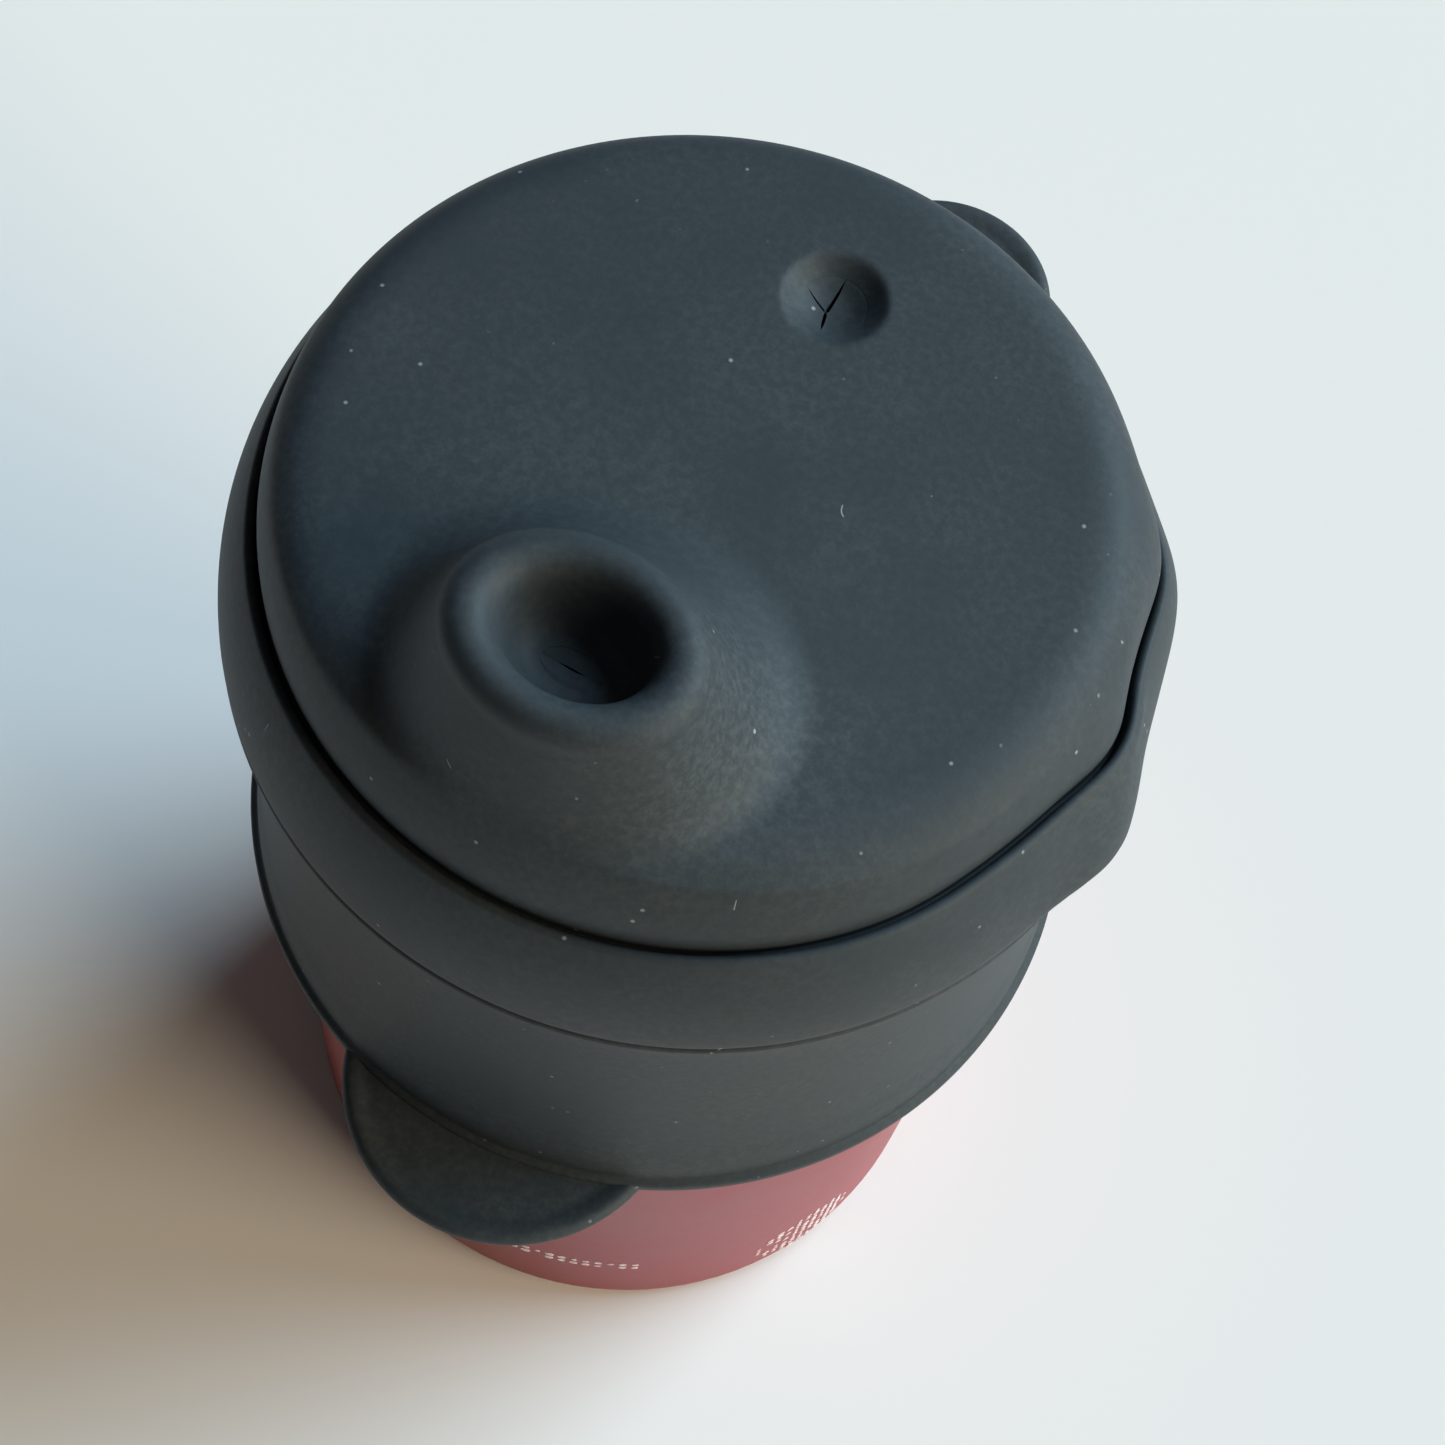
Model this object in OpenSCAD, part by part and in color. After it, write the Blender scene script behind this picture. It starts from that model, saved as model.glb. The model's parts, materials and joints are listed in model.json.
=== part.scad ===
// Toddler's drinking cup: double-walled metal tumbler, silicone grip sleeve and
// stretch-on silicone spout lid. Origin at the centre of the base, +Z up, the
// spout and the sleeve's pull tab towards -Y, the vent and the lid's pull tab
// towards +Y. All sizes in millimetres.

/* [Cup] */
// Outer radius of the cup
cup_r = 37.2; // [34:0.1:42]
// Height of the cup to its rim
cup_h = 117; // [100:1:140]
// Thickness of each metal wall
metal = 0.6; // [0.4:0.1:1]
// Space between the two walls
wall_gap = 1.8; // [1.2:0.1:4]
// Height of the inner floor above the base
floor_h = 6; // [5:0.5:12]

/* [Sleeve] */
// Length of the sleeve
sleeve_h = 43.8; // [25:0.1:70]
// Outer radius of the sleeve at its bottom bead
bead_r = 40.9; // [40:0.1:44]
// Outer radius of the sleeve at its waist
waist_r = 38.7; // [38.6:0.1:40]

/* [Lid] */
// How far the skirt reaches below the cup's rim
skirt_drop = 7.8; // [5:0.1:15]
// Outer radius of the skirt's lower edge
skirt_r = 40.3; // [39.5:0.1:43]
// Outer radius at the fold between skirt and dome
fold_r = 36.4; // [35:0.1:38]
// Depth of the fold
fold_depth = 1.2; // [0.4:0.1:1.4]
// Radius of the flat top
top_r = 31.5; // [28:0.5:33]
// Height of the dome above the fold
dome_h = 8; // [6:0.5:14]
// Thickness of the silicone
silicone = 2; // [1.6:0.1:2.4]

/* [Spout] */
// Height of the spout above the flat top
spout_h = 12.5; // [10:0.5:20]
// Half width of the spout's rim
spout_a = 10.4; // [9:0.1:12]
// Half depth of the spout's rim
spout_b = 8.3; // [7:0.1:8.6]
// Distance from the lid's centre to the spout's root
spout_root_y = 19.5; // [17:0.5:20]
// Distance from the lid's centre to the spout's rim
spout_rim_y = 22.5; // [20:0.1:26]
// Depth of the bowl in the spout's end
bowl_depth = 6.5; // [3:0.1:7]

/* [Vent] */
// Distance from the lid's centre to the vent
vent_y = 20.3; // [15:0.1:24]
// Radius of the vent's dimple at the top
dimple_r = 4.4; // [3.6:0.1:6]
// Depth of the dimple
dimple_depth = 2; // [1.6:0.1:3]
// Radius of the slit membrane
petal_r = 2.9; // [2:0.1:3]
// Thickness of the slit membrane
petal_t = 0.8; // [0.5:0.1:1]
// Turn of the crossed slits about the vent's axis
vent_turn = 6; // [0:1:90]

/* [Pull tabs] */
// How far the sleeve's tab reaches from the cup's axis
sleeve_tab_reach = 49.5; // [47:0.1:54]
// Radius of the round outline of the sleeve's tab
sleeve_tab_r = 16.3; // [12:0.1:20]
// Turn of the sleeve's tab away from the spout's side
sleeve_turn = 4.5; // [-20:0.5:20]
// How far the lid's tab reaches from the cup's axis
lid_tab_reach = 49.2; // [47:0.1:54]
// Radius of the round outline of the lid's tab
lid_tab_r = 10; // [8:0.1:20]
// Turn of the lid's tab away from the vent's side
lid_turn = 6; // [-20:0.5:20]
// Thickness of a tab
tab_t = 1.8; // [1.4:0.1:2.4]

/* [Hidden] */
$fn = 96;

red = [0.58, 0.08, 0.11];
steel = [0.72, 0.72, 0.73];
slate = [0.16, 0.20, 0.24];
slate_dark = [0.12, 0.15, 0.18];

fit = 0.3;          // clearance between silicone and metal
slit = 0.12;        // width of a slit
slit_slant = 15;    // slant of a slit's faces, so that the flaps clear each other
eps = 0.01;

liner_r = cup_r - metal - wall_gap;
foot_in = cup_r - 4;
corner_r = 3;
plate_z = 1.2;

skirt_z = cup_h - skirt_drop;
skirt_in = cup_r + fit;
sleeve_top = skirt_z - fit;
sleeve_z = sleeve_top - sleeve_h;
fold_z = cup_h + 5;
fold_half = 0.6;
top_z = fold_z + dome_h;
neck_in = fold_r - fold_depth - silicone;

rim_z = top_z + spout_h;
bowl_z = rim_z - bowl_depth;
root_a = 15.5;
root_b = 14;
lip_t = 0.8;
lip_a = 2.6;
lip_b = 1.5;

petal_z = top_z - dimple_depth - petal_t;
tab_hinge = max(bead_r, skirt_r) + 1.2;

// Points of an arc round [cx, cz], from angle a0 to a1
function arc(cx, cz, r, a0, a1, n = 8) =
    [for (i = [0:n]) let (a = a0 + (a1 - a0) * i / n) [cx + r * cos(a), cz + r * sin(a)]];

// Points of a curve from p to q, pulled towards c
function bend(p, c, q, n = 8) =
    [for (i = [0:n]) let (t = i / n) (1 - t) * (1 - t) * p + 2 * t * (1 - t) * c + t * t * q];

// Oval outline with half sizes a and b
module oval(a, b) {
    for (side = [-1, 1])
        translate([side * (a - b), 0])
            circle(r = b, $fn = 48);
    square([2 * (a - b), 2 * b], center = true);
}

// The two round ends of an oval slab, for a hull to join
module oval_ends(a, b) {
    for (side = [-1, 1])
        translate([side * (a - b), 0, 0])
            cylinder(r = b, h = 0.5, $fn = 32);
}

// ---- Cup ----

module cup_shell() {
    color(red)
        rotate_extrude()
            polygon(concat(
                [[foot_in, 0]],
                arc(cup_r - corner_r, corner_r, corner_r, -90, 0),
                [[cup_r, cup_h - 1]],
                [[cup_r - metal, cup_h - 1]],
                arc(cup_r - corner_r, corner_r, corner_r - metal, 0, -90),
                [[foot_in + metal, metal], [foot_in + metal, plate_z], [foot_in, plate_z]]));
}

module cup_liner() {
    lip = cup_r - liner_r;
    color(steel)
        rotate_extrude()
            polygon(concat(
                [[0, floor_h]],
                arc(liner_r - corner_r - metal, floor_h + corner_r, corner_r, -90, 0),
                [[liner_r - metal, cup_h - 1]],
                arc(liner_r - metal + 1, cup_h - 1, 1, 180, 90, 4),
                arc(cup_r - 1, cup_h - 1, 1, 90, 0, 4),
                [[cup_r - metal, cup_h - 1], [cup_r - metal, cup_h - lip], [liner_r, cup_h - lip]],
                arc(liner_r - corner_r - metal, floor_h + corner_r, corner_r + metal, 0, -90),
                [[0, floor_h - metal]]));
}

module cup_base_plate() {
    color(steel)
        translate([0, 0, plate_z])
            cylinder(r = foot_in + metal, h = 0.8);
}

module getter_pill() {
    color("dimgray")
        translate([0, 0, floor_h - metal - 1])
            cylinder(r = 5, h = 1, $fn = 48);
}

// ---- Pull tabs ----

// Part of a tab's outline, pointing to +Y, between two distances from the axis
module tab_outline(reach, r, y_in, y_out) {
    intersection() {
        union() {
            translate([0, reach - r])
                circle(r = r);
            translate([-r, 0])
                square([2 * r, reach - r]);
        }
        translate([-r, y_in])
            square([2 * r, y_out - y_in]);
    }
}

// Loose part of a tab, with a rounded root on the hinge line
module tab_blade(reach, r) {
    root_half = sqrt(pow(r, 2) - pow(tab_hinge - reach + r, 2));
    linear_extrude(tab_t)
        tab_outline(reach, r, tab_hinge, reach);
    translate([0, tab_hinge, tab_t / 2])
        rotate([0, 90, 0])
            cylinder(d = tab_t, h = 2 * root_half, center = true, $fn = 32);
}

// Fixed web that carries a tab, from the wall outside r_in to the hinge line
module tab_web(reach, r, r_in) {
    difference() {
        linear_extrude(tab_t)
            tab_outline(reach, r, 0, tab_hinge - tab_t / 2 - fit);
        translate([0, 0, -1])
            cylinder(r = r_in, h = tab_t + 2);
    }
}

// ---- Sleeve ----

module grip_sleeve() {
    bead_h = 2;
    color(slate)
        union() {
            rotate_extrude()
                polygon(concat(
                    [[skirt_in, sleeve_z], [bead_r - 0.8, sleeve_z]],
                    arc(bead_r - 0.8, sleeve_z + 0.8, 0.8, -90, 0, 4),
                    [[bead_r, sleeve_z + bead_h - 0.5], [bead_r - 0.5, sleeve_z + bead_h]],
                    bend([bead_r - 0.6, sleeve_z + bead_h + 0.4], [waist_r, sleeve_z + sleeve_h * 0.3],
                         [waist_r, sleeve_z + sleeve_h * 0.6]),
                    bend([waist_r, sleeve_z + sleeve_h * 0.75], [waist_r + 0.2, sleeve_top - 3],
                         [waist_r + 0.8, sleeve_top - 0.5], 4),
                    [[waist_r + 0.4, sleeve_top], [skirt_in, sleeve_top]]));
            translate([0, 0, sleeve_z])
                rotate([0, 0, 180 + sleeve_turn])
                    tab_web(sleeve_tab_reach, sleeve_tab_r, skirt_in + 0.5);
        }
}

module sleeve_front_tab() {
    color(slate_dark)
        translate([0, 0, sleeve_z])
            rotate([0, 0, 180 + sleeve_turn])
                tab_blade(sleeve_tab_reach, sleeve_tab_r);
}

// ---- Lid ----

module dome_and_skirt() {
    rotate_extrude()
        polygon(concat(
            [[0, top_z]],
            bend([top_r, top_z], [fold_r - 0.9, top_z - 0.2], [fold_r - 0.7, fold_z + dome_h * 0.4]),
            [[fold_r, fold_z + fold_half], [fold_r - fold_depth, fold_z], [fold_r, fold_z - fold_half]],
            bend([fold_r, fold_z - fold_half], [skirt_r - 0.3, fold_z - 5], [skirt_r, skirt_z + 0.6]),
            [[skirt_r - 0.5, skirt_z], [skirt_in, skirt_z], [skirt_in, cup_h + fit], [neck_in, cup_h + fit]],
            [[neck_in, top_z - silicone - 2], [neck_in - 2, top_z - silicone], [0, top_z - silicone]]));
}

module lid_cap() {
    color(slate)
        difference() {
            union() {
                dome_and_skirt();
                translate([0, vent_y, petal_z])
                    cylinder(r = dimple_r + 1, h = top_z - silicone / 2 - petal_z, $fn = 48);
                translate([0, 0, skirt_z])
                    rotate([0, 0, -lid_turn])
                        tab_web(lid_tab_reach, lid_tab_r, skirt_in + 0.5);
            }
            translate([0, -spout_root_y, top_z - silicone - 1])
                linear_extrude(silicone + 2)
                    oval(root_a - silicone, root_b - silicone);
            translate([0, vent_y, top_z - dimple_depth])
                cylinder(r1 = petal_r + 0.5, r2 = dimple_r, h = dimple_depth + eps, $fn = 48);
            translate([0, vent_y, petal_z - 1])
                cylinder(r = petal_r + slit, h = petal_t + 2, $fn = 48);
        }
}

module lid_rear_tab() {
    color(slate_dark)
        translate([0, 0, skirt_z])
            rotate([0, 0, -lid_turn])
                tab_blade(lid_tab_reach, lid_tab_r);
}

// ---- Spout ----

// A flared root below a leaning oval tube
module spout_body() {
    mid_z = top_z + spout_h * 0.4;
    mid_y = -(spout_root_y + spout_rim_y) / 2;
    hull() {
        translate([0, -spout_root_y, top_z])
            oval_ends(root_a, root_b);
        translate([0, mid_y, mid_z])
            oval_ends(spout_a + 1.2, spout_b + 1.4);
    }
    hull() {
        translate([0, mid_y, mid_z])
            oval_ends(spout_a + 1.2, spout_b + 1.4);
        translate([0, -spout_rim_y, rim_z - 1.5])
            oval_ends(spout_a, spout_b);
        translate([0, -spout_rim_y, rim_z - 0.5])
            oval_ends(spout_a - 1, spout_b - 1);
    }
}

// Passage inside the spout, open to the inside of the lid
module spout_passage() {
    hull() {
        translate([0, -spout_root_y, top_z - 0.5])
            oval_ends(root_a - silicone, root_b - silicone);
        translate([0, -spout_rim_y, bowl_z - lip_t - 0.5])
            oval_ends(spout_a - 3, spout_b - 2.6);
    }
}

module bowl() {
    hull() {
        translate([0, -spout_rim_y, bowl_z])
            oval_ends(4.6, 3);
        translate([0, -spout_rim_y, rim_z])
            oval_ends(spout_a - 2, spout_b - 1.8);
    }
}

module spout() {
    color(slate)
        difference() {
            spout_body();
            spout_passage();
            bowl();
            translate([0, -spout_rim_y, bowl_z - lip_t - 0.5])
                linear_extrude(lip_t + 1)
                    oval(lip_a + slit, lip_b + slit);
        }
}

// ---- Valves ----

// Half of the spout's slit mouth: side -1 is the front lip, 1 the back lip
module spout_lip(side) {
    color(slate_dark)
        translate([0, -spout_rim_y, bowl_z - lip_t])
            intersection() {
                linear_extrude(lip_t)
                    oval(lip_a, lip_b);
                translate([0, side * slit / 2, lip_t])
                    rotate([side * slit_slant, 0, 0])
                        translate([0, side * lip_a, 0])
                            cube(2 * lip_a, center = true);
            }
}

module spout_lip_front() {
    spout_lip(-1);
}

module spout_lip_back() {
    spout_lip(1);
}

// Quarter of the vent's slit membrane
module vent_petal(quarter) {
    color(slate_dark)
        translate([0, vent_y, petal_z])
            rotate([0, 0, vent_turn + 90 * quarter])
                intersection() {
                    cylinder(r = petal_r, h = petal_t, $fn = 48);
                    translate([slit / 2, 0, 0])
                        rotate([0, slit_slant, 0])
                            translate([petal_r, 0, 0])
                                cube([2 * petal_r, 4 * petal_r, 4 * petal_r], center = true);
                    translate([0, slit / 2, 0])
                        rotate([-slit_slant, 0, 0])
                            translate([0, petal_r, 0])
                                cube([4 * petal_r, 2 * petal_r, 4 * petal_r], center = true);
                }
}

module vent_petal_a() {
    vent_petal(0);
}

module vent_petal_b() {
    vent_petal(1);
}

module vent_petal_c() {
    vent_petal(2);
}

module vent_petal_d() {
    vent_petal(3);
}

cup_shell();
cup_liner();
cup_base_plate();
getter_pill();
grip_sleeve();
sleeve_front_tab();
lid_cap();
lid_rear_tab();
spout();
spout_lip_front();
spout_lip_back();
vent_petal_a();
vent_petal_b();
vent_petal_c();
vent_petal_d();
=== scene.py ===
# Toddler's spout cup: slate silicone lid and grip sleeve on a satin red tumbler.
import json
import math

import bmesh
import bpy
import numpy as np
from mathutils import Matrix, Vector


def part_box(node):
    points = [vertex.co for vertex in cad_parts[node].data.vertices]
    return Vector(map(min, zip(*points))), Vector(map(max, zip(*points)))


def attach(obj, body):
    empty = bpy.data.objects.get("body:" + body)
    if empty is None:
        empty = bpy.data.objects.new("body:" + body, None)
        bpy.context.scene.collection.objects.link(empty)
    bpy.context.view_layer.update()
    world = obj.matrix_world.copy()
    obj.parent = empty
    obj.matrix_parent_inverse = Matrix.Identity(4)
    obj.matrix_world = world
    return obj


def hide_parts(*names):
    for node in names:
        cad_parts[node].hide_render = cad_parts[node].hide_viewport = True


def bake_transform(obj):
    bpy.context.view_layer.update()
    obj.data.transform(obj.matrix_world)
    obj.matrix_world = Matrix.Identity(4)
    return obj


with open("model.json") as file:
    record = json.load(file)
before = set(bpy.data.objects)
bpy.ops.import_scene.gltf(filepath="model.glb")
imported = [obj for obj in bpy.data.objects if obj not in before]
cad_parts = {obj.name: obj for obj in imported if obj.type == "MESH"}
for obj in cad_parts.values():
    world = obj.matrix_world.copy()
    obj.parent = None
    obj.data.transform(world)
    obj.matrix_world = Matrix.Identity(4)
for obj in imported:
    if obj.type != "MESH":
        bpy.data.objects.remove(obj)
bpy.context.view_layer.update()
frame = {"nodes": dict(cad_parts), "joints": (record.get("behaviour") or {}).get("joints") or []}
scene = bpy.context.scene
millimetre = 0.001


def nodeBox(name):  # lowest and highest corner of a CAD node, in millimetres
    low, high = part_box(name)
    return np.array(low) * 1000, np.array(high) * 1000


def jointNamed(name):
    return next(joint for joint in frame["joints"] if joint["name"] == name)


# Where things are, read from the frame, in millimetres.
shellHigh = nodeBox("cup_shell")[1]
linerHigh = nodeBox("cup_liner")[1]
sleeveLow, sleeveHigh = nodeBox("grip_sleeve")
lidLow, lidHigh = nodeBox("lid_cap")
spoutHigh = nodeBox("spout")[1]
lipLow, lipHigh = nodeBox("spout_lip_front")
backHigh = nodeBox("spout_lip_back")[1]
petalBottom = nodeBox("vent_petal_a")[0][2]
petalNames = [f"vent_petal_{p}" for p in "abcd"]

cupRadius = shellHigh[0]
rimZ = linerHigh[2]
skirtZ = lidLow[2]
skirtRadius = -lidLow[0]
topZ = lidHigh[2]
foldAboveRim = 5.0
foldZ = rimZ + foldAboveRim
spoutTopZ = spoutHigh[2]
bowlZ = lipHigh[2]
spoutY = (lipLow[1] + backHigh[1]) / 2
ventPivots = [np.array(jointNamed(f"petal_{p}_flex")["pos_m"]) * 1000 for p in "abcd"]
ventMiddle = np.mean(ventPivots, axis=0)
ventReach = np.hypot(*(ventPivots[0] - ventMiddle)[:2])

cameraView = {
    "azimuth": 18.0,
    "elevation": 65.4,
    "roll": 12.3,
    "distance": 212.5,
    "aside": -1.33,
    "above": 15.77,
    "lens": 64.8,
}


def makeCamera():
    v = cameraView
    a, e, g = (math.radians(v[k]) for k in ("azimuth", "elevation", "roll"))
    forward = Vector((-math.sin(a) * math.cos(e), math.cos(a) * math.cos(e), -math.sin(e)))
    level = Vector((math.cos(a), math.sin(a), 0))
    up = level.cross(forward)
    right = math.cos(g) * level + math.sin(g) * up
    top = -math.sin(g) * level + math.cos(g) * up
    middle = Vector((0, 0, foldZ))
    place = middle - forward * v["distance"] - right * v["aside"] - top * v["above"]
    data = bpy.data.cameras.new("viewCamera")
    data.lens = v["lens"]
    data.sensor_width = 36
    data.clip_start = 0.01
    camera = bpy.data.objects.new("viewCamera", data)
    scene.collection.objects.link(camera)
    turn = Matrix((right, top, -forward)).transposed().to_4x4()
    camera.matrix_world = Matrix.Translation(place * millimetre) @ turn
    scene.camera = camera


makeCamera()
print("camera made")


class Socket:  # wraps a socket, so that sums on values read as sums
    def __init__(self, tree, link):
        self.tree = tree
        self.link = link

    def maths(self, operation, *others):
        return self.tree.node("ShaderNodeMath", {"operation": operation}, [self, *others])

    def sibling(self, name):  # another output of the same node
        return Socket(self.tree, self.link.node.outputs[name])

    def __add__(self, other):
        return self.maths("ADD", other)

    def __sub__(self, other):
        return self.maths("SUBTRACT", other)

    def __mul__(self, other):
        return self.maths("MULTIPLY", other)

    def __truediv__(self, other):
        return self.maths("DIVIDE", other)

    def __rsub__(self, other):
        return self.tree.node("ShaderNodeMath", {"operation": "SUBTRACT"}, [other, self])


class NodeWork:  # puts nodes and links into a tree
    def __init__(self, tree):
        self.nodes = tree.nodes
        self.links = tree.links

    def put(self, socket, value):
        if isinstance(value, Socket):
            self.links.new(value.link, socket)
        elif isinstance(value, tuple) and socket.type == "RGBA":
            socket.default_value = (*value, 1)
        else:
            socket.default_value = value

    def node(self, kind, settings=None, inputs=(), output=0):
        made = self.nodes.new(kind)
        for key, value in (settings or {}).items():
            setattr(made, key, value)
        pairs = inputs.items() if isinstance(inputs, dict) else enumerate(inputs)
        for key, value in pairs:
            self.put(made.inputs[key], value)
        return Socket(self, made.outputs[output])


class Shader(NodeWork):  # one material's node tree
    def __init__(self, name):
        self.material = bpy.data.materials.new(name)
        self.material.use_nodes = True
        super().__init__(self.material.node_tree)
        self.surface = self.nodes["Principled BSDF"]

    def set(self, **values):
        for key, value in values.items():
            self.put(self.surface.inputs[key.replace("_", " ")], value)

    def place(self):
        return self.node("ShaderNodeTexCoord", output="Object")

    def vector(self, operation, a, b, output=0):
        return self.node("ShaderNodeVectorMath", {"operation": operation}, [a, b], output)

    def noise(self, place, scale, detail=3.0, roughness=0.5):
        return self.node("ShaderNodeTexNoise", inputs={
            "Vector": place, "Scale": scale, "Detail": detail, "Roughness": roughness})

    def cells(self, place, scale):
        return self.node("ShaderNodeTexVoronoi", {"feature": "F1"}, {"Vector": place, "Scale": scale})

    def between(self, value, low, high):  # 0 below low, 1 above high
        return self.node("ShaderNodeMapRange", {"clamp": True}, [value, low, high, 0.0, 1.0])

    def mix(self, factor, a, b):
        return self.node("ShaderNodeMix", {"data_type": "RGBA"}, {0: factor, 6: a, 7: b}, output=2)

    def bump(self, height, strength, distance):
        return self.node("ShaderNodeBump", inputs={
            "Height": height, "Strength": strength, "Distance": distance})


siliconeLook = {
    "colour": (0.029, 0.036, 0.042),
    "paler": (0.035, 0.042, 0.048),
    "dustAndHighlightColour": (0.34, 0.36, 0.36),
    "dustFilmAndHighlight": 0.05,  # share of dust colour in the fine dusty film, and in the painted highlight on the spout's right flank
    "speck": 0.7,  # share of dust colour in a speck
    "hair": 0.75,  # and in a hair
    "paintedHighlightMiddle": (0.0120, -0.0205, 0.1345),  # painted highlight: dust colour is laid on thicker round this point on the spout's right flank, to lighten it where the light falls
    "paintedHighlightReach": 0.0115,
    "speckCells": 620.0,
    "hairCells": 130.0,
    "hairShare": 0.20,  # how many cells hold a hair
    "hairHalfWidth": 0.000035,
    "hairReach": 0.0008,
    "roughness": 0.60,
    "specular": 0.24,
}


def makeSilicone():
    look = siliconeLook
    s = Shader("slateSilicone")
    place = s.place()
    cloud = s.noise(place, 60.0, 4.0, 0.6)
    grain = s.noise(place, 2600.0, 2.0, 0.6)
    fuzz = s.noise(place, 1300.0, 3.0, 0.7)
    colour = s.mix(s.between(cloud, 0.3, 0.7), look["colour"], look["paler"])
    # painted highlight: the dusty film grows heavier near a point on the spout's right flank,
    # lightening it where the light falls
    near = s.vector("DISTANCE", place, look["paintedHighlightMiddle"], "Value")
    paintedHighlightShare = (1 - s.between(near, look["paintedHighlightReach"] * 0.1, look["paintedHighlightReach"])) * 1.5
    dustFilmAndHighlight = s.between(fuzz, 0.40, 0.75) * (s.between(cloud, 0.35, 0.62) + paintedHighlightShare + 0.35) * look["dustFilmAndHighlight"]
    # the fine dust film is mixed in, together with the painted highlight on the spout's right flank
    colour = s.mix(dustFilmAndHighlight, colour, look["dustAndHighlightColour"])
    specks = s.cells(place, look["speckCells"])
    chosen = s.between(s.noise(place, 310.0, 1.0), 0.63, 0.68)
    speck = (1 - s.between(specks, 0.07, 0.14)) * chosen * look["speck"]
    colour = s.mix(speck, colour, look["dustAndHighlightColour"])
    s.set(Base_Color=s.mix(hairMask(s, place), colour, look["dustAndHighlightColour"]))
    s.set(Roughness=s.between(cloud, 0.2, 0.8) * 0.08 + (look["roughness"] - 0.04))
    s.set(Normal=s.bump(grain, 0.22, 0.00004), Specular_IOR_Level=look["specular"])
    return s.material


def hairMask(s, place):  # short curved lint hairs, one in some of the cells
    look = siliconeLook
    cell = s.cells(place, look["hairCells"])
    local = s.vector("SUBTRACT", place, cell.sibling("Position"))
    seed = cell.sibling("Color")
    across = s.vector("NORMALIZE", s.vector("SUBTRACT", seed, (0.5, 0.5, 0.5)), (0, 0, 0))
    along = s.vector("CROSS_PRODUCT", across, (0.36, 0.48, 0.80))
    run = s.vector("DOT_PRODUCT", local, along, "Value")
    sheet = s.vector("DOT_PRODUCT", local, across, "Value") + run * run * 330.0
    thin = 1 - s.between(sheet.maths("ABSOLUTE"), look["hairHalfWidth"] * 0.6, look["hairHalfWidth"])
    near = s.vector("LENGTH", local, (0, 0, 0), "Value")
    reach = s.vector("DOT_PRODUCT", seed, (9.1, 4.3, 6.7), "Value").maths("FRACT") * 0.9 + 0.25
    short = 1 - s.between(near / reach, look["hairReach"] * 0.8, look["hairReach"])
    pick = s.vector("DOT_PRODUCT", seed, (3.7, 5.9, 7.3), "Value").maths("FRACT")
    chosen = 1 - s.between(pick, look["hairShare"], look["hairShare"] + 0.01)
    return thin * short * chosen * look["hair"]


paintLook = {
    "colour": (0.23, 0.006, 0.014),
    "paler": (0.26, 0.012, 0.022),
    "roughness": 0.46,
    "coat": 0.25,
}


def makePaint():
    look = paintLook
    s = Shader("satinRedPaint")
    place = s.place()
    orange = s.noise(place, 900.0, 2.0)
    cloud = s.noise(place, 45.0, 4.0, 0.6)
    fleck = s.between(s.noise(place, 2400.0, 2.0, 0.7), 0.60, 0.78) * 0.12
    colour = s.mix(s.between(cloud, 0.35, 0.7), look["colour"], look["paler"])
    s.set(Base_Color=s.mix(fleck, colour, (0.70, 0.34, 0.36)))
    s.set(Roughness=s.between(cloud, 0.3, 0.7) * 0.1 + look["roughness"])
    s.set(Normal=s.bump(orange, 0.14, 0.0001), Coat_Weight=look["coat"], Coat_Roughness=0.32)
    return s.material


def makeInk():
    s = Shader("wornWhiteInk")
    place = s.place()
    wear = s.between(s.noise(place, 1500.0, 3.0, 0.7), 0.42, 0.62)
    s.set(Base_Color=s.mix(wear, (0.84, 0.78, 0.78), (0.60, 0.33, 0.36)), Roughness=wear * 0.1 + 0.5)
    s.set(Normal=s.bump(wear, 0.2, 0.00003))
    return s.material


def makeSteel():
    s = Shader("brushedSteel")
    streaks = s.noise(s.vector("MULTIPLY", s.place(), (60, 60, 2600)), 1.0, 3.0)
    s.set(Base_Color=s.mix(streaks, (0.50, 0.50, 0.51), (0.66, 0.66, 0.67)), Metallic=1.0)
    s.set(Roughness=streaks * 0.18 + 0.22, Normal=s.bump(streaks, 0.15, 0.00005))
    return s.material


def makeGetter():
    s = Shader("greyGetter")
    grain = s.noise(s.place(), 1800.0, 3.0, 0.7)
    s.set(Base_Color=s.mix(grain, (0.10, 0.10, 0.10), (0.22, 0.21, 0.20)), Metallic=0.6)
    s.set(Roughness=grain * 0.2 + 0.55, Normal=s.bump(grain, 0.4, 0.0001))
    return s.material


silicone = makeSilicone()
paint = makePaint()
ink = makeInk()
steel = makeSteel()
getter = makeGetter()
print("materials made")


def newObject(name, mesh):
    made = bpy.data.objects.new(name, mesh)
    scene.collection.objects.link(made)
    return made


def addPiece(name, points, faces, material, sharp=50):  # points in millimetres
    mesh = bpy.data.meshes.new(name)
    mesh.from_pydata((np.asarray(points) * millimetre).tolist(), [], faces)
    mesh.validate()
    mesh.materials.append(material)
    piece = newObject(name, mesh)
    tidyMesh(piece, sharp)
    return piece


def tidyMesh(piece, sharp=50):
    bm = bmesh.new()
    bm.from_mesh(piece.data)
    bmesh.ops.remove_doubles(bm, verts=bm.verts, dist=1e-7)
    bmesh.ops.recalc_face_normals(bm, faces=bm.faces)
    for face in bm.faces:
        face.smooth = True
    bm.to_mesh(piece.data)
    bm.free()
    piece.data.set_sharp_from_angle(angle=math.radians(sharp))


def bakeModifiers(piece):
    bpy.context.view_layer.update()
    graph = bpy.context.evaluated_depsgraph_get()
    mesh = bpy.data.meshes.new_from_object(piece.evaluated_get(graph))
    piece.modifiers.clear()
    piece.data = mesh


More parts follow.
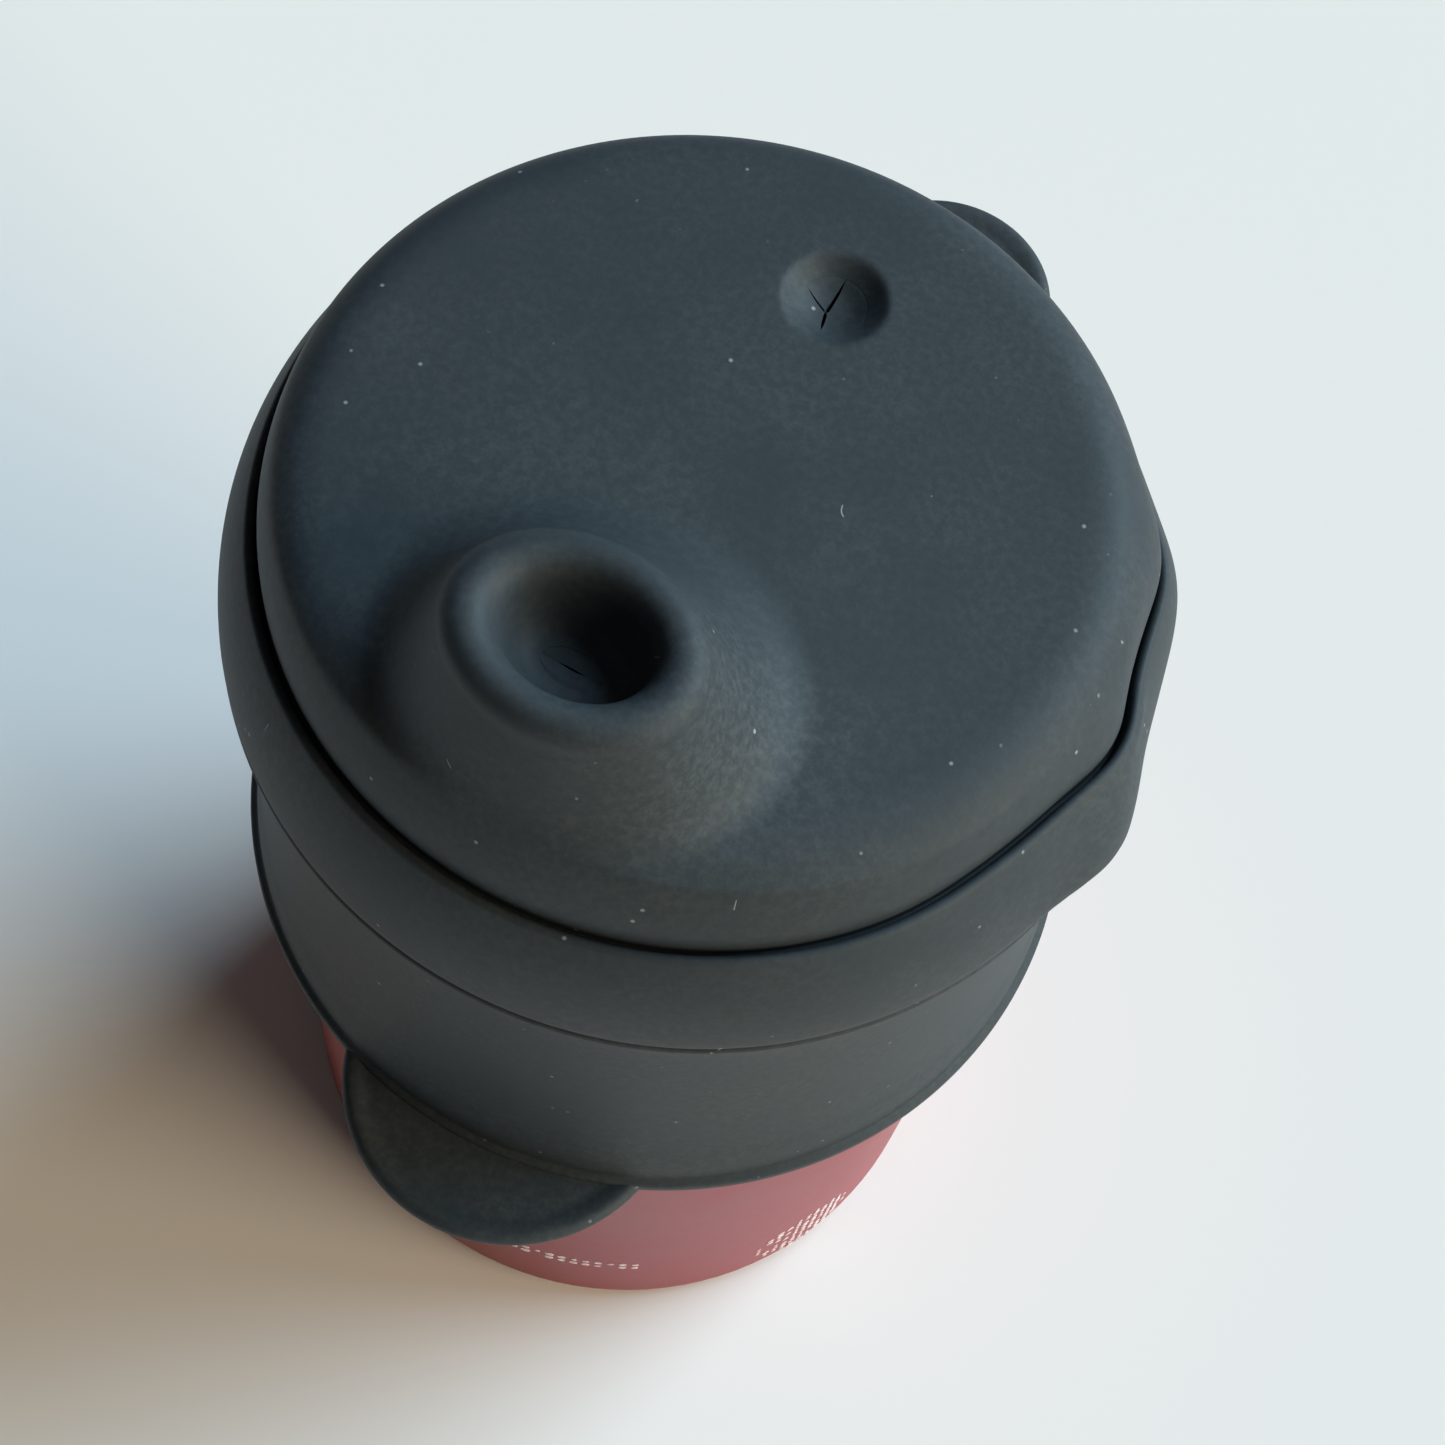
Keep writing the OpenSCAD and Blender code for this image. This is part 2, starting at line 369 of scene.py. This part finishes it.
def cutRound(piece, x, y, radius, low, high, sharp=50):  # cuts an upright round hole
    bm = bmesh.new()
    bmesh.ops.create_cone(bm, cap_ends=True, segments=128, radius1=radius * millimetre,
                          radius2=radius * millimetre, depth=(high - low) * millimetre)
    bmesh.ops.translate(bm, verts=bm.verts, vec=Vector((x, y, (low + high) / 2)) * millimetre)
    mesh = bpy.data.meshes.new("cutter")
    bm.to_mesh(mesh)
    bm.free()
    cutter = newObject("cutter", mesh)
    cut = piece.modifiers.new("cut", "BOOLEAN")
    cut.operation = "DIFFERENCE"
    cut.solver = "EXACT"
    cut.object = cutter
    bakeModifiers(piece)
    bpy.data.objects.remove(cutter)
    piece.data.set_sharp_from_angle(angle=math.radians(sharp))


def loftFaces(rows, columns):  # quads between rings of points, the last joined to the first
    faces = []
    for i in range(rows):
        a, b = i * columns, (i + 1) % rows * columns
        for j in range(columns):
            k = (j + 1) % columns
            faces.append((a + j, a + k, b + k, b + j))
    return faces


def arc(centreR, centreZ, radius, start, stop, count):
    turn = np.radians(np.linspace(start, stop, count))
    return [(centreR + radius * math.cos(t), centreZ + radius * math.sin(t)) for t in turn]


def curve(p, c, q, count):  # from p to q, pulled towards c, without p itself
    t = np.linspace(0, 1, count + 1)[1:, None]
    p, c, q = (np.array(v, float) for v in (p, c, q))
    return [tuple(v) for v in (1 - t) ** 2 * p + 2 * t * (1 - t) * c + t ** 2 * q]


def smooth(t):
    t = np.clip(t, 0, 1)
    return t * t * (3 - 2 * t)


def hump(angle, middle, width):  # bell over an angle in degrees
    away = (angle - middle + 180) % 360 - 180
    return np.exp(-(away / width) ** 2)


def blendMax(a, b, k):  # the higher of two heights, with a fillet
    h = np.maximum(k - np.abs(a - b), 0)
    return np.maximum(a, b) + h * h / (4 * k)


def blendMin(a, b, k):
    return -blendMax(-a, -b, k)


def spread(count, *crowds):  # 0 to 1 in unequal steps; a crowd is (middle, width, how much closer)
    t = np.linspace(0, 1, 2000)
    thick = np.ones_like(t)
    for middle, width, more in crowds:
        thick += more * np.exp(-((t - middle) / width) ** 2)
    total = np.concatenate([[0], np.cumsum((thick[1:] + thick[:-1]) / 2)])
    return np.interp(np.linspace(0, 1, count), total / total[-1], t)


lidShape = {
    "columns": 300,
    "shoulderStart": 28.4,
    "shoulderSquare": 4.2,  # how square the shoulder is
    "frontSofter": 1.7,  # how much less square it is at the front right
    "foldRadius": 36.15,
    "foldGap": 0.45,
    "foldDeep": 1.5,
    "neckRadius": 33.4,
    "rimHalfWidth": 10.5,
    "rimHalfDepth": 8.4,
    "rimRound": 2.1,
    "rootHalfWidth": 18.0,
    "rootHalfDepth": 15.5,
    "rootY": -19.5,
    "flankCurve": 1.75,
    "frontSlope": 3.3,
    "fillet": 4.2,
    "dimpleRadius": 4.5,
    "dimpleDepth": 2.0,
    "ventRoundRadius": 6.0,  # thicker round under the vent
    "wall": 2.0,
}

# Where the groove under the fold is pressed shut: direction and width in degrees, and how far.
pinches = {
    "farRight": (52, 26, 1.5),
    "left": (185, 38, 0.5),
}


def columnAngles():
    turn = spread(lidShape["columns"] + 1, (0.5, 0.028, 2.6), (0.26, 0.08, 0.9))[:-1]
    return np.radians(-90 + 360 * turn)


def domeHeight(x, y):  # height of the plain lid
    v = lidShape
    r, azimuth = np.hypot(x, y), np.degrees(np.arctan2(y, x))
    square = v["shoulderSquare"] - v["frontSofter"] * hump(azimuth, -38, 48)
    u = np.clip((r - v["shoulderStart"]) / (v["foldRadius"] - v["shoulderStart"]), 0, 1)
    return foldZ + 0.4 + (topZ - foldZ - 0.4) * (1 - u ** square) ** 0.55


def ovalAt(q):  # half width, half depth and middle of the spout's outline, q from rim 0 to root 1
    v = lidShape
    return (v["rimHalfWidth"] + (v["rootHalfWidth"] - v["rimHalfWidth"]) * q,
            v["rimHalfDepth"] + (v["rootHalfDepth"] - v["rimHalfDepth"]) * q,
            spoutY + (v["rootY"] - spoutY) * q)


def flankShare(x, y):  # q of the outline that passes through a point
    low, high = np.zeros_like(x), np.full_like(x, 6.0)
    for _ in range(26):
        q = (low + high) / 2
        a, b, middle = ovalAt(q)
        outside = (x / a) ** 2 + ((y - middle) / b) ** 2 > 1
        low, high = np.where(outside, q, low), np.where(outside, high, q)
    return q


def flankHeight(x, y):
    v = lidShape
    q = flankShare(x, y)
    edge = spoutTopZ - v["rimRound"]
    slope = topZ - 1.2 * q + (edge - topZ) * np.clip(1 - q, 0, 1) ** v["flankCurve"]
    front = foldZ + 0.4 + (v["foldRadius"] - np.hypot(x, y)) * v["frontSlope"]
    return blendMin(slope, front, 1.2)


def dimpleDrop(x, y):
    v = lidShape
    away = np.hypot(x - ventMiddle[0], y - ventMiddle[1])
    t = np.clip(away / v["dimpleRadius"], 0, 1)
    return v["dimpleDepth"] * (1 - t ** 2.4) ** 1.2


def topSurface(x, y):
    return blendMax(domeHeight(x, y), flankHeight(x, y), lidShape["fillet"]) - dimpleDrop(x, y)


def grooveClosing(theta):  # 0 open to 1 pressed shut, for each column
    azimuth = np.degrees(theta)
    middle, width, much = pinches["farRight"]
    right = smooth(hump(azimuth, middle, width) * much)
    middle, width, much = pinches["left"]
    return right + much * hump(azimuth, middle, width)


# Where the loose skirt swells out or in: millimetres, and direction and width in degrees.
skirtSwell = {
    "frontOut": 2.2,
    "frontLess": 1.2,  # how much less it is at the fold
    "frontAt": -6,
    "frontTurn": 6,  # how far it has turned at the fold
    "frontWidth": 9,
    "backOut": 0.7,
    "backMore": 0.6,  # how much more it is at the fold
    "backAt": 28,
    "backWidth": 9,
    "inward": 0.45,
    "inwardAt": -22,
    "inwardWidth": 12,
    "lipOut": 0.35,
    "lipAt": 5,
    "lipWidth": 4.5,
}


def dent(x, y, z):  # how far the loose skirt swells out round the dent at its right
    v = skirtSwell
    azimuth, r = np.degrees(np.arctan2(y, x)), np.hypot(x, y)
    up = np.clip((z - skirtZ) / (foldZ - skirtZ), 0, 1)
    front = v["frontOut"] - v["frontLess"] * up
    front = front * hump(azimuth, v["frontAt"] + v["frontTurn"] * up, v["frontWidth"] - 2 * up)
    back = (v["backOut"] + v["backMore"] * up) * hump(azimuth, v["backAt"] - up, v["backWidth"])
    inward = v["inward"] * up * hump(azimuth, v["inwardAt"], v["inwardWidth"])
    lip = v["lipOut"] * hump(azimuth, v["lipAt"], v["lipWidth"]) * hump(z, foldZ - 0.6, 0.9)
    share = smooth((z - skirtZ + 0.4) / 4.0) * smooth((topZ - 0.6 - z) / 6.5) * smooth((r - 30) / 4)
    return (front + back + lip - inward) * share


def bowlProfile():  # inset from the spout's edge and height, from the slit outwards
    v = lidShape
    top = spoutTopZ
    turn = v["rimRound"]
    inner = curve((turn, top), (3.9, top), (4.5, top - 2.1), 11)
    wall = curve((4.5, top - 2.1), (5.3, bowlZ), (v["rimHalfWidth"] - lipHigh[0], bowlZ), 14)
    outer = arc(turn, top - turn, turn, 180, 90, 11)
    return (outer + inner + wall)[::-1]


def lidProfile(closed):  # from the dome's foot down and up the inside; closed 1 shuts the groove
    v = lidShape
    edge, gap, deep = v["foldRadius"], v["foldGap"] * (1 - 0.8 * closed), v["foldDeep"] - 0.9 * closed
    inner = cupRadius + 0.3
    low = foldZ - deep
    profile = [(edge + 0.02, foldZ + 0.1), (edge - 0.05, foldZ - 0.3), (edge - 0.15, low + 0.5)]
    profile += arc(edge + 0.03, low + 0.2, 0.2, 180, 360, 5)
    profile += [(edge + gap * 0.55, low + 0.5)]
    profile += arc(edge + gap + 0.45, foldZ - 0.5 - 0.2 * closed, 0.5, 175, 25, 9)
    start = profile[-1]
    profile += curve(start, (skirtRadius - 0.3, foldZ - 4.5), (skirtRadius, skirtZ + 1.3), 24)
    profile += arc(skirtRadius - 0.6, skirtZ + 0.6, 0.6, 0, -90, 6)
    profile += arc(inner + 0.3, skirtZ + 0.3, 0.3, -90, -180, 4)
    profile += [(inner, z) for z in np.linspace(skirtZ + 2, rimZ - 0.4, 5)]
    neck = v["neckRadius"]
    profile += [(inner - 0.3, rimZ + 0.3), (neck + 0.4, rimZ + 0.3)]
    profile += arc(neck + 0.4, rimZ + 0.7, 0.4, -90, -180, 4)
    profile += [(neck, z) for z in np.linspace(rimZ + 2, topZ - v["wall"] - 3, 5)]
    return profile + arc(neck - 2.4, topZ - v["wall"] - 2.4, 2.4, 12, 90, 7)


def underSurface(x, y):  # the roof inside the lid, with the thicker round of the vent
    under = topZ - lidShape["wall"]
    away = np.hypot(x - ventMiddle[0], y - ventMiddle[1])
    return under - (under - petalBottom) * smooth((lidShape["ventRoundRadius"] - away) / 1.4)


def makeLid():
    v = lidShape
    theta = columnAngles()
    cos, sin = np.cos(theta), np.sin(theta)
    rows = []

    def addOval(a, b, middle, z):
        rows.append(np.stack([a * cos, middle + b * sin, z + 0 * cos], 1))

    def addMorph(shares, first, last, height):
        for s in shares:
            x = first[0] * cos * (1 - s) + last * cos * s
            y = (first[2] + first[1] * sin) * (1 - s) + last * sin * s
            rows.append(np.stack([x, y, height(x, y)], 1))

    for inset, z in bowlProfile():
        shrink = inset / (v["rimHalfWidth"] - lipHigh[0])
        depth = v["rimHalfDepth"] - (v["rimHalfDepth"] - (backHigh[1] - spoutY)) * shrink
        addOval(v["rimHalfWidth"] - inset, depth, spoutY, z)
    for q in np.linspace(0, 1, 31)[1:-1] ** 1.2:
        a, b, middle = ovalAt(q)
        x, y = a * cos, middle + b * sin
        rows.append(np.stack([x, y, topSurface(x, y)], 1))
    ventShare = (ventMiddle[1] + 4.5) / (v["foldRadius"] + 4.5)
    shares = spread(86, (ventShare, 0.10, 1.8), (1.0, 0.12, 1.8))
    addMorph(shares, ovalAt(1.0), v["foldRadius"], topSurface)
    closed = grooveClosing(theta)
    for (r, z), (shutR, shutZ) in zip(lidProfile(0), lidProfile(1)):
        r, z = r + (shutR - r) * closed, z + (shutZ - z) * closed
        rows.append(np.stack([r * cos, r * sin, z], 1))
    passage = (v["rootHalfWidth"] - 5.5, v["rootHalfDepth"] - 4.5, v["rootY"])
    addMorph(1 - spread(36, (0.42, 0.14, 1.6))[1:], passage, v["neckRadius"] - 2.4, underSurface)
    under, roof = topZ - v["wall"], bowlZ - (lipHigh[2] - lipLow[2])
    for t in np.linspace(0, 1, 12):
        shrink = t ** 0.8
        a = passage[0] + (v["rimHalfWidth"] - 3.8 - passage[0]) * shrink
        b = passage[1] + (v["rimHalfDepth"] - 3.4 - passage[1]) * shrink
        middle = passage[2] + (spoutY - passage[2]) * shrink
        addOval(a, b, middle, under + (roof - 0.6 - under) * t ** 1.5)
    addOval(v["rimHalfWidth"] - 4.4, v["rimHalfDepth"] - 4.0, spoutY, roof)
    addOval(lipHigh[0], backHigh[1] - spoutY, spoutY, roof)
    points = np.concatenate(rows)
    swell = dent(*points.T)
    points[:, :2] *= (1 + swell / np.maximum(np.hypot(points[:, 0], points[:, 1]), 1))[:, None]
    piece = addPiece("siliconeLid", points, loftFaces(len(rows), len(theta)), silicone)
    cutRound(piece, ventMiddle[0], ventMiddle[1], ventReach, petalBottom - 1, topZ + 1)
    return piece


lid = makeLid()
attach(lid, "lid")
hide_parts("lid_cap", "spout")
print("lid made", len(lid.data.polygons))


ventSlits = {
    "crossing": (-0.35, -0.45),  # from the vent's middle
    "reach": 0.12,  # how far the petals run under the dimple's floor
    "thick": 0.8,
    # direction in degrees, gap in mm, share of the arm that gapes
    "arms": [(96, 0.34, 0.97), (168, 0.17, 0.92), (276, 0.30, 0.80), (352, 0.015, 0.9)],
}


def slitEdge(arm, s):  # half of an arm's gap at a share of its length
    gap, gaping = arm[1:]
    return gap / 2 * np.clip(1 - (s / gaping) ** 3, 0.04, 1)


def makePetal(number):
    v = ventSlits
    first, second = v["arms"][number - 1], v["arms"][number]
    start, stop = first[0], second[0]
    if stop < start:
        start -= 360
    cross = ventMiddle[:2] + np.array(v["crossing"])
    reach = ventReach + v["reach"]
    shares, sides = np.linspace(0, 1, 15), np.linspace(0, 1, 19)
    top, bottom = [], []
    for s in shares:
        for c in sides:
            angle = math.radians(start + (stop - start) * c)
            edge = ventMiddle[:2] + reach * np.array([math.cos(angle), math.sin(angle)])
            x, y = cross + (edge - cross) * max(s, 0.012)
            a, b = math.radians(start), math.radians(stop)
            shift = slitEdge(first, s) * (1 - c) ** 3 * np.array([-math.sin(a), math.cos(a)])
            shift += slitEdge(second, s) * c ** 3 * np.array([math.sin(b), -math.cos(b)])
            x, y = x + shift[0], y + shift[1]
            away = math.hypot(x - ventMiddle[0], y - ventMiddle[1])
            z = topZ - float(dimpleDrop(x, y)) - 0.05 * smooth((away - ventReach + 0.1) / 0.1)
            top.append((x, y, z))
            bottom.append((x, y, max(z - v["thick"], petalBottom)))
    rows, columns = len(shares), len(sides)
    count = rows * columns
    faces = []
    for i in range(rows - 1):
        for j in range(columns - 1):
            a = i * columns + j
            quad = (a, a + columns, a + columns + 1, a + 1)
            faces += [quad, tuple(k + count for k in quad[::-1])]
    ring = list(range(columns))
    ring += [i * columns + columns - 1 for i in range(1, rows)]
    ring += [count - 1 - j for j in range(1, columns)]
    ring += [i * columns for i in range(rows - 2, 0, -1)]
    for a, b in zip(ring, ring[1:] + ring[:1]):
        faces.append((a, b, b + count, a + count))
    piece = addPiece(f"ventPetal{'ABCD'[number]}", top + bottom, faces, silicone)
    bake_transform(piece)
    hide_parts(petalNames[number])


for number in range(4):
    makePetal(number)
print("vent petals made")


lipShape = {"tuck": 0.1, "gap": 0.09, "gapHalfLength": 1.15, "columns": 33, "rows": 9}


def makeLip(name, node, side):  # side -1 is the front half of the slit mouth, 1 the back half
    v = lipShape
    low, high = nodeBox(node)
    a, b = high[0] + v["tuck"], (high[1] - low[1]) + v["tuck"]
    top = []
    for s in np.linspace(0, 1, v["rows"]):
        for turn in np.radians(np.linspace(-90, 90, v["columns"])):
            x = a * math.sin(turn)
            gape = v["gap"] * max(1 - (x / v["gapHalfLength"]) ** 2, 0.06)
            y = gape + (max(b * math.cos(turn), gape) - gape) * s
            z = bowlZ - 0.05 * smooth((s - 0.8) / 0.1) - 0.12 * (1 - s) ** 2
            top.append((x, spoutY + side * y, z))
    bottom = [(x, y, low[2]) for x, y, z in top]
    count, rows, columns = len(top), v["rows"], v["columns"]
    faces = []
    for i in range(rows - 1):
        for j in range(columns - 1):
            k = i * columns + j
            quad = (k, k + columns, k + columns + 1, k + 1)
            faces += [quad, tuple(n + count for n in quad[::-1])]
    for i in (0, rows - 1):
        for j in range(columns - 1):
            k = i * columns + j
            faces.append((k, k + 1, k + 1 + count, k + count))
    piece = addPiece(name, top + bottom, faces, silicone)
    hinge = spoutY + side * (high[1] - low[1])
    (hinge + side * 0.1) * millimetre
    (hinge - side * 0.9) * millimetre
    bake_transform(piece)
    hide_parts(node)


makeLip("spoutLipFront", "spout_lip_front", -1)
makeLip("spoutLipBack", "spout_lip_back", 1)
print("spout lips made")


class GeometryTree(NodeWork):  # a Geometry Nodes tree with named inputs
    def __init__(self, name, inputs):
        self.tree = bpy.data.node_groups.new(name, "GeometryNodeTree")
        super().__init__(self.tree)
        face = self.tree.interface
        for key, kind in inputs.items():
            face.new_socket(key, in_out="INPUT", socket_type=f"NodeSocket{kind}")
        face.new_socket("Result", in_out="OUTPUT", socket_type="NodeSocketGeometry")
        self.start = self.nodes.new("NodeGroupInput")

    def given(self, name):
        return Socket(self, self.start.outputs[name])

    def finish(self, geometry):
        whole = self.node("GeometryNodeRealizeInstances", inputs=[geometry])
        painted = self.node("GeometryNodeSetMaterial", inputs={
            "Geometry": whole, "Material": self.given("Material")})
        end = self.nodes.new("NodeGroupOutput")
        self.put(end.inputs[0], painted)
        return self.tree


def grow(name, tree, values, points=((0, 0, 0),)):  # runs a tree on bare points, in millimetres
    mesh = bpy.data.meshes.new(name)
    mesh.from_pydata([tuple(np.array(p) * millimetre) for p in points], [], [])
    piece = newObject(name, mesh)
    work = piece.modifiers.new("grow", "NODES")
    work.node_group = tree
    for item in tree.interface.items_tree:
        if item.in_out == "INPUT" and item.name in values:
            work[item.identifier] = values[item.name]
    bakeModifiers(piece)
    return piece


def makeLatheTree():  # turns a closed profile of points in the XZ plane round Z
    t = GeometryTree("turnedProfile", {
        "Profile": "Geometry", "Points": "Int", "Segments": "Int", "Material": "Material"})
    points, segments = t.given("Points"), t.given("Segments")
    grid = t.node("GeometryNodeMeshGrid", inputs={
        "Size X": 1.0, "Size Y": 1.0, "Vertices X": segments + 1, "Vertices Y": points + 1})
    place = t.node("GeometryNodeInputPosition")
    split = t.node("ShaderNodeSeparateXYZ", inputs=[place])
    turn = (split + 0.5) * math.tau
    row = ((split.sibling("Y") + 0.5) * points).maths("ROUND").maths("MODULO", points)
    found = t.node("GeometryNodeSampleIndex", {"data_type": "FLOAT_VECTOR"}, {
        "Geometry": t.given("Profile"), "Value": place, "Index": row})
    profile = t.node("ShaderNodeSeparateXYZ", inputs=[found])
    moved = t.node("ShaderNodeCombineXYZ", inputs=[
        profile * turn.maths("COSINE"), profile * turn.maths("SINE"), profile.sibling("Z")])
    turned = t.node("GeometryNodeSetPosition", inputs={"Geometry": grid, "Position": moved})
    closed = t.node("GeometryNodeMergeByDistance", inputs={"Geometry": turned, "Distance": 1e-6})
    return t.finish(closed)


sleeveShape = {
    "segments": 256,
    "beadRound": 0.8,
    "beadHeight": 2.0,
    "creaseInset": 0.75,
    "waistInset": 2.2,
    "topRadius": 40.3,
}


def makeSleeve(tree):
    v = sleeveShape
    low, top, bead = sleeveLow[2], sleeveHigh[2], sleeveHigh[0]
    inner, waist, height = cupRadius + 0.3, bead - v["waistInset"], top - low
    crease = (bead - v["creaseInset"], low + v["beadHeight"] + 0.4)
    profile = arc(inner + 0.3, low + 0.3, 0.3, 180, 270, 4)
    profile += arc(bead - v["beadRound"], low + v["beadRound"], v["beadRound"], -90, 0, 8)
    profile += arc(bead - 0.5, low + v["beadHeight"] - 0.5, 0.5, 10, 60, 5)
    profile += curve(profile[-1], (crease[0] - 0.05, crease[1] - 0.2), crease, 4)
    profile += curve(crease, (crease[0] - 0.1, crease[1] + 2.5), (waist + 0.75, low + height * 0.2), 10)
    profile += curve(profile[-1], (waist, low + height * 0.36), (waist, low + height * 0.6), 14)
    profile += curve(profile[-1], (waist, top - 7), (waist + 0.55, top - 3.4), 8)
    profile += curve(profile[-1], (waist + 1.1, top - 1.6), (v["topRadius"], top - 0.6), 6)
    profile += arc(v["topRadius"] - 0.5, top - 0.5, 0.5, 10, 90, 7)
    profile += arc(inner + 0.3, top - 0.3, 0.3, 90, 180, 4)
    profile += [(inner, z) for z in np.linspace(top - 3, low + 3, 9)]
    values = {"Points": len(profile), "Segments": v["segments"], "Material": silicone}
    piece = grow("gripSleeve", tree, values, [(r, 0, z) for r, z in profile])
    tidyMesh(piece)
    return piece


latheTree = makeLatheTree()
sleeve = makeSleeve(latheTree)
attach(sleeve, "sleeve")
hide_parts("grip_sleeve")
print("sleeve made", len(sleeve.data.polygons))


tabShape = {
    "columns": 160,
    "beadWidth": 2.3,
    "dish": 0.3,  # how far the tab's face lies below its bead
    "rootRadius": 38.1,  # where the tab ends inside the wall
    "bendStart": -0.7,  # from the hinge line outwards
    "bendEnd": 2.3,
}


def makeTab(name, node, joint, reach, radius):
    v = tabShape
    low, high = nodeBox(node)
    hinge = np.array(jointNamed(joint)["pos_m"]) * 1000
    outward = np.array([hinge[0], hinge[1], 0]) / math.hypot(hinge[0], hinge[1])
    half = (high[2] - low[2]) / 2
    middle = outward * (reach - radius)
    section = [(radius, -half + 0.1), (v["beadWidth"] * 1.5, -half + 0.1), (v["beadWidth"], -half)]
    bead = np.radians(np.linspace(-80, 90, 14))
    section += [(half - half * math.cos(a), half * math.sin(a)) for a in bead]
    section += curve((half, half), (half * 1.5, half), (v["beadWidth"], half - v["dish"]), 6)
    section += [(inset, half - v["dish"]) for inset in np.linspace(v["beadWidth"] + 0.7, radius, 16)]
    turn = np.linspace(0, math.tau, v["columns"], endpoint=False)
    points = []
    for inset, lift in section:
        r = max(radius - inset, 0.01)
        z = low[2] + half + lift
        points += [(middle[0] + r * math.cos(a), middle[1] + r * math.sin(a), z) for a in turn]
    piece = addPiece(name, points, loftFaces(len(section), v["columns"]), silicone)
    cutRound(piece, 0, 0, v["rootRadius"], low[2] - 1, high[2] + 1)
    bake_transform(piece)
    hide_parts(node)


makeTab("sleeveFrontTab", "sleeve_front_tab", "sleeve_tab_flex", 49.5, 16.3)
makeTab("lidRearTab", "lid_rear_tab", "lid_tab_flex", 49.2, 10.0)
print("pull tabs made")


def makeInkTree():  # round dots of ink in rows on the cup's wall
    t = GeometryTree("inkDots", {
        "Base": "Geometry", "Columns": "Int", "Rows": "Int", "Start Angle": "Float", "Low": "Float",
        "Pitch": "Float", "Radius": "Float", "Dot": "Float", "Share": "Float", "Trim": "Float",
        "Seed": "Int", "Material": "Material"})
    columns, rows, radius = t.given("Columns"), t.given("Rows"), t.given("Radius")
    index = t.node("GeometryNodeInputIndex")
    column = index.maths("MODULO", columns)
    row = (index / columns).maths("FLOOR")
    angle = column * t.given("Pitch") / radius + t.given("Start Angle")
    place = t.node("ShaderNodeCombineXYZ", inputs=[
        radius * angle.maths("COSINE"),
        radius * angle.maths("SINE"),
        t.given("Low") + row * t.given("Pitch")])
    points = t.node("GeometryNodePoints", inputs={"Count": columns * rows, "Position": place})
    chance = t.node("FunctionNodeRandomValue", {"data_type": "FLOAT"}, {
        "Min": 0.0, "Max": 1.0, "Seed": t.given("Seed")}, output="Value")
    sideways, upward = column * 2 / (columns - 1) - 1, row * 2 / (rows - 1) - 1
    fromMiddle = sideways * sideways + upward * upward
    kept = chance.maths("LESS_THAN", t.given("Share")) * fromMiddle.maths("LESS_THAN", t.given("Trim"))
    size = t.node("FunctionNodeRandomValue", {"data_type": "FLOAT"}, {
        "Min": 0.6, "Max": 1.25, "Seed": t.given("Seed") + 1}, output="Value")
    dot = t.node("GeometryNodeMeshCylinder", inputs={
        "Vertices": 14, "Radius": t.given("Dot"), "Depth": 0.00006})
    facing = t.node("FunctionNodeEulerToRotation", inputs=[
        t.node("ShaderNodeCombineXYZ", inputs=[0.0, math.pi / 2, angle])])
    dots = t.node("GeometryNodeInstanceOnPoints", inputs={
        "Points": points, "Selection": kept, "Instance": dot, "Rotation": facing,
        "Scale": t.node("ShaderNodeCombineXYZ", inputs=[size, size, 1.0])})
    return t.finish(dots)


inkMarks = {
    "inkBand": {
        "Columns": 11, "Rows": 2, "Start Angle": math.radians(-81), "Low": 0.0148,
        "Pitch": 0.0014, "Dot": 0.00046, "Share": 0.8, "Trim": 9.0, "Seed": 4},
    "inkRosette": {
        "Columns": 11, "Rows": 11, "Start Angle": math.radians(-36), "Low": 0.0025,
        "Pitch": 0.00122, "Dot": 0.00042, "Share": 0.85, "Trim": 1.05, "Seed": 9},
}
inkTree = makeInkTree()
for name, values in inkMarks.items():
    wall = float(cupRadius + 0.01) * millimetre
    marks = grow(name, inkTree, {**values, "Radius": wall, "Material": ink})
    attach(marks, "cup")
    print(name, "made", len(marks.data.polygons))

cadFinishes = {"cup_shell": paint, "cup_liner": steel, "cup_base_plate": steel, "getter_pill": getter}
for name, finish in cadFinishes.items():
    node = frame["nodes"][name]
    node.data.materials.clear()
    node.data.materials.append(finish)


floorLook = {
    "halfWidth": 3,
    "colour": (0.88, 0.80, 0.76),
    "roughness": 0.9,
}


def makeFloor():
    w = floorLook["halfWidth"]
    mesh = bpy.data.meshes.new("floor")
    mesh.from_pydata([(-w, -w, 0), (w, -w, 0), (w, w, 0), (-w, w, 0)], [], [(0, 1, 2, 3)])
    floor = newObject("floor", mesh)
    s = Shader("paleFloor")
    s.set(Base_Color=floorLook["colour"], Roughness=floorLook["roughness"])
    mesh.materials.append(s.material)


lightRig = {
    "sky": {"azimuth": 52, "elevation": 37, "spread": 44, "power": 4.3, "colour": (0.60, 0.84, 1.0)},
    "window": {"azimuth": 0, "elevation": 20, "spread": 40, "power": 2.8, "colour": (1.0, 0.90, 0.66)},
}
worldStrength = 0.05


def makeLights():
    for name, v in lightRig.items():
        data = bpy.data.lights.new(name, "SUN")
        data.angle = math.radians(v["spread"])
        data.energy = v["power"]
        data.color = v["colour"]
        lamp = newObject(name, data)
        a, e = math.radians(v["azimuth"]), math.radians(v["elevation"])
        towards = Vector((math.cos(a) * math.cos(e), math.sin(a) * math.cos(e), math.sin(e)))
        lamp.rotation_euler = towards.to_track_quat("Z", "Y").to_euler()
    world = bpy.data.worlds.new("studio")
    world.use_nodes = True
    world.node_tree.nodes["Background"].inputs["Color"].default_value = (1, 1, 1, 1)
    world.node_tree.nodes["Background"].inputs["Strength"].default_value = worldStrength
    scene.world = world
    scene.view_settings.view_transform = "Standard"


makeFloor()
makeLights()
print("floor and lights made")
